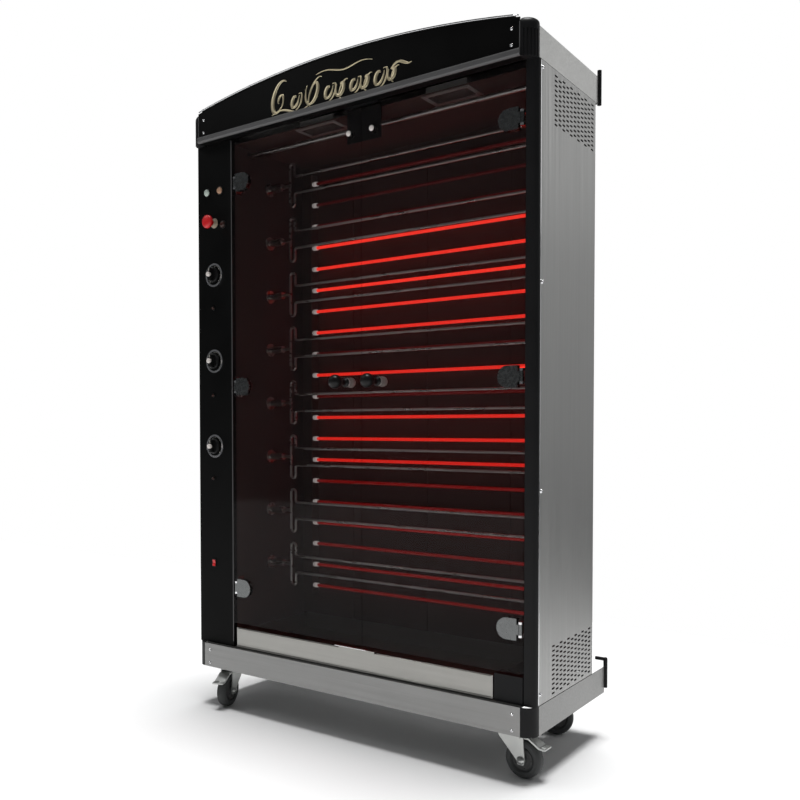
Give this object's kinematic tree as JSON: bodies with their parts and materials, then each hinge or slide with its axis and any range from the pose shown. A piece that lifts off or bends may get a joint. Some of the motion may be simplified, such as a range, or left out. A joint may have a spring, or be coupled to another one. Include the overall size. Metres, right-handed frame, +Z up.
{
  "type": "rotisserie oven",
  "caption": "Floor-standing rotisserie oven with glass doors, stacked spits, rear heating tubes, a control column, a drip drawer and swivel casters.",
  "frame": {"origin": "on the floor below the middle of the oven's bounding box", "axes": "+X to the right as seen from the front, +Y to the back, +Z up"},
  "size_m": [1.2136, 0.5271, 1.9369],
  "materials": {
    "brushed": "brushed",
    "black_profile": "satin",
    "black_fascia": "satin",
    "lip_grey": "satin",
    "dark_enamel": "glossy",
    "bright_steel": "polished",
    "spit_steel": "satin",
    "cast_steel": "matte",
    "glow_tube": "glowing",
    "ceramic": "ceramic",
    "smoked_glass": "smoked",
    "clamp_grey": "satin",
    "black_plastic": "satin",
    "red_plastic": "gloss",
    "lens": "gloss",
    "zinc": "zinc plated",
    "rubber_tyre": "matte",
    "lamp_white": "satin"
  },
  "bodies": {
    "cabinet": {"base_frame": "brushed", "corner_profiles": "black_profile", "floor_pan": "brushed", "side_panel_left": "brushed", "side_panel_right": "brushed", "back_panel": "brushed", "control_column": "black_fascia", "partition": "dark_enamel", "cavity_liner": "dark_enamel", "header_fascia": "black_fascia", "header_lip": "lip_grey", "header_caps": "black_profile", "crown_panels": "brushed", "panel_screws": "bright_steel", "heating_tubes": "glow_tube", "tube_end_caps": "ceramic", "ceiling_lamps": "lamp_white", "ceiling_bar": "spit_steel", "catch_plate": "black_profile", "hinge_brackets": "bright_steel", "pilot_lamps": "lens", "dial_rings": "bright_steel", "control_gear": "black_plastic", "drive_motor": "cast_steel", "drive_chain": "spit_steel", "spit_supports": "spit_steel", "cable_gland": "black_plastic", "drain_spigot": "bright_steel", "service_cover": "black_profile"},
    "door_left": {"door_left_glass": "smoked_glass", "door_left_fittings": "clamp_grey", "door_left_knob": "black_plastic"},
    "door_right": {"door_right_glass": "smoked_glass", "door_right_fittings": "clamp_grey", "door_right_knob": "black_plastic"},
    "drive_shaft": {"drive_sprocket": "spit_steel"},
    "spit_1": {"spit_1": "spit_steel"},
    "spit_2": {"spit_2": "spit_steel"},
    "spit_3": {"spit_3": "spit_steel"},
    "spit_4": {"spit_4": "spit_steel"},
    "spit_5": {"spit_5": "spit_steel"},
    "spit_6": {"spit_6": "spit_steel"},
    "spit_7": {"spit_7": "spit_steel"},
    "spit_8": {"spit_8": "spit_steel"},
    "thermostat_knob_1": {"thermostat_knob_1": "black_plastic"},
    "thermostat_knob_2": {"thermostat_knob_2": "black_plastic"},
    "thermostat_knob_3": {"thermostat_knob_3": "black_plastic"},
    "stop_button": {"stop_button": "red_plastic"},
    "rocker_switch": {"rocker_switch": "red_plastic"},
    "drip_drawer": {"drip_drawer": "brushed"},
    "caster_front_left": {"caster_front_left_fork": "zinc"},
    "wheel_front_left": {"caster_front_left_wheel": "rubber_tyre"},
    "pedal_front_left": {"caster_front_left_pedal": "zinc"},
    "caster_front_right": {"caster_front_right_fork": "zinc"},
    "wheel_front_right": {"caster_front_right_wheel": "rubber_tyre"},
    "pedal_front_right": {"caster_front_right_pedal": "zinc"},
    "caster_rear_left": {"caster_rear_left_fork": "zinc"},
    "wheel_rear_left": {"caster_rear_left_wheel": "rubber_tyre"},
    "caster_rear_right": {"caster_rear_right_fork": "zinc"},
    "wheel_rear_right": {"caster_rear_right_wheel": "rubber_tyre"}
  },
  "joints": [
    {"name": "door_left_hinge", "type": "hinge", "parent": "cabinet", "child": "door_left", "pos_m": [-0.436, -0.1945, 1.019], "axis": [0, 0, -1], "range_deg": [0, 110]},
    {"name": "door_right_hinge", "type": "hinge", "parent": "cabinet", "child": "door_right", "pos_m": [0.554, -0.1945, 1.019], "axis": [0, 0, 1], "range_deg": [0, 110]},
    {"name": "drive_turn", "type": "hinge", "parent": "cabinet", "child": "drive_shaft", "pos_m": [-0.494, -0.0265, 0.276], "axis": [1, 0, 0], "continuous": true},
    {"name": "spit_1_turn", "type": "hinge", "parent": "cabinet", "child": "spit_1", "pos_m": [-0.447, -0.0265, 1.668], "axis": [1, 0, 0], "continuous": true},
    {"name": "spit_2_turn", "type": "hinge", "parent": "cabinet", "child": "spit_2", "pos_m": [-0.447, -0.0265, 1.494], "axis": [1, 0, 0], "continuous": true},
    {"name": "spit_3_turn", "type": "hinge", "parent": "cabinet", "child": "spit_3", "pos_m": [-0.447, -0.0265, 1.32], "axis": [1, 0, 0], "continuous": true},
    {"name": "spit_4_turn", "type": "hinge", "parent": "cabinet", "child": "spit_4", "pos_m": [-0.447, -0.0265, 1.146], "axis": [1, 0, 0], "continuous": true},
    {"name": "spit_5_turn", "type": "hinge", "parent": "cabinet", "child": "spit_5", "pos_m": [-0.447, -0.0265, 0.972], "axis": [1, 0, 0], "continuous": true},
    {"name": "spit_6_turn", "type": "hinge", "parent": "cabinet", "child": "spit_6", "pos_m": [-0.447, -0.0265, 0.798], "axis": [1, 0, 0], "continuous": true},
    {"name": "spit_7_turn", "type": "hinge", "parent": "cabinet", "child": "spit_7", "pos_m": [-0.447, -0.0265, 0.624], "axis": [1, 0, 0], "continuous": true},
    {"name": "spit_8_turn", "type": "hinge", "parent": "cabinet", "child": "spit_8", "pos_m": [-0.447, -0.0265, 0.45], "axis": [1, 0, 0], "continuous": true},
    {"name": "thermostat_1_turn", "type": "hinge", "parent": "cabinet", "child": "thermostat_knob_1", "pos_m": [-0.526, -0.1975, 1.375], "axis": [0, 1, 0], "range_deg": [0, 270]},
    {"name": "thermostat_2_turn", "type": "hinge", "parent": "cabinet", "child": "thermostat_knob_2", "pos_m": [-0.526, -0.1975, 1.103], "axis": [0, 1, 0], "range_deg": [0, 270]},
    {"name": "thermostat_3_turn", "type": "hinge", "parent": "cabinet", "child": "thermostat_knob_3", "pos_m": [-0.526, -0.1975, 0.833], "axis": [0, 1, 0], "range_deg": [0, 270]},
    {"name": "stop_press", "type": "slide", "parent": "cabinet", "child": "stop_button", "axis": [0, 1, 0], "range_m": [0, 0.005], "stiffness_N_per_m": 800},
    {"name": "rocker_tilt", "type": "hinge", "parent": "cabinet", "child": "rocker_switch", "pos_m": [-0.533, -0.1937, 0.459], "axis": [1, 0, 0], "range_deg": [-6, 6]},
    {"name": "drawer_slide", "type": "slide", "parent": "cabinet", "child": "drip_drawer", "axis": [0, -1, 0], "range_m": [0, 0.28]},
    {"name": "caster_front_left_swivel", "type": "hinge", "parent": "cabinet", "child": "caster_front_left", "pos_m": [-0.508, -0.1435, 0.127], "axis": [0, 0, 1], "continuous": true},
    {"name": "wheel_front_left_roll", "type": "hinge", "parent": "caster_front_left", "child": "wheel_front_left", "pos_m": [-0.49806, -0.17601, 0.05], "axis": [0.9563, 0.2924, 0], "continuous": true},
    {"name": "pedal_front_left_press", "type": "hinge", "parent": "caster_front_left", "child": "pedal_front_left", "pos_m": [-0.49981, -0.17028, 0.107], "axis": [0.9563, 0.2924, 0], "range_deg": [0, 8], "stiffness_Nm_per_rad": 1.5},
    {"name": "caster_front_right_swivel", "type": "hinge", "parent": "cabinet", "child": "caster_front_right", "pos_m": [0.508, -0.1435, 0.127], "axis": [0, 0, 1], "continuous": true},
    {"name": "wheel_front_right_roll", "type": "hinge", "parent": "caster_front_right", "child": "wheel_front_right", "pos_m": [0.54198, -0.14469, 0.05], "axis": [0.0349, 0.9994, 0], "continuous": true},
    {"name": "pedal_front_right_press", "type": "hinge", "parent": "caster_front_right", "child": "pedal_front_right", "pos_m": [0.53598, -0.14448, 0.107], "axis": [0.0349, 0.9994, 0], "range_deg": [0, 8], "stiffness_Nm_per_rad": 1.5},
    {"name": "caster_rear_left_swivel", "type": "hinge", "parent": "cabinet", "child": "caster_rear_left", "pos_m": [-0.508, 0.2025, 0.127], "axis": [0, 0, 1], "continuous": true},
    {"name": "wheel_rear_left_roll", "type": "hinge", "parent": "caster_rear_left", "child": "wheel_rear_left", "pos_m": [-0.49417, 0.17144, 0.05], "axis": [0.9135, 0.4067, 0], "continuous": true},
    {"name": "caster_rear_right_swivel", "type": "hinge", "parent": "cabinet", "child": "caster_rear_right", "pos_m": [0.508, 0.2025, 0.127], "axis": [0, 0, 1], "continuous": true},
    {"name": "wheel_rear_right_roll", "type": "hinge", "parent": "caster_rear_right", "child": "wheel_rear_right", "pos_m": [0.47694, 0.18867, 0.05], "axis": [0.4067, -0.9135, 0], "continuous": true}
  ],
  "couplings": [
    {"joint": "spit_1_turn", "follows": "drive_turn", "ratio": 1},
    {"joint": "spit_2_turn", "follows": "drive_turn", "ratio": 1},
    {"joint": "spit_3_turn", "follows": "drive_turn", "ratio": 1},
    {"joint": "spit_4_turn", "follows": "drive_turn", "ratio": 1},
    {"joint": "spit_5_turn", "follows": "drive_turn", "ratio": 1},
    {"joint": "spit_6_turn", "follows": "drive_turn", "ratio": 1},
    {"joint": "spit_7_turn", "follows": "drive_turn", "ratio": 1},
    {"joint": "spit_8_turn", "follows": "drive_turn", "ratio": 1}
  ]
}
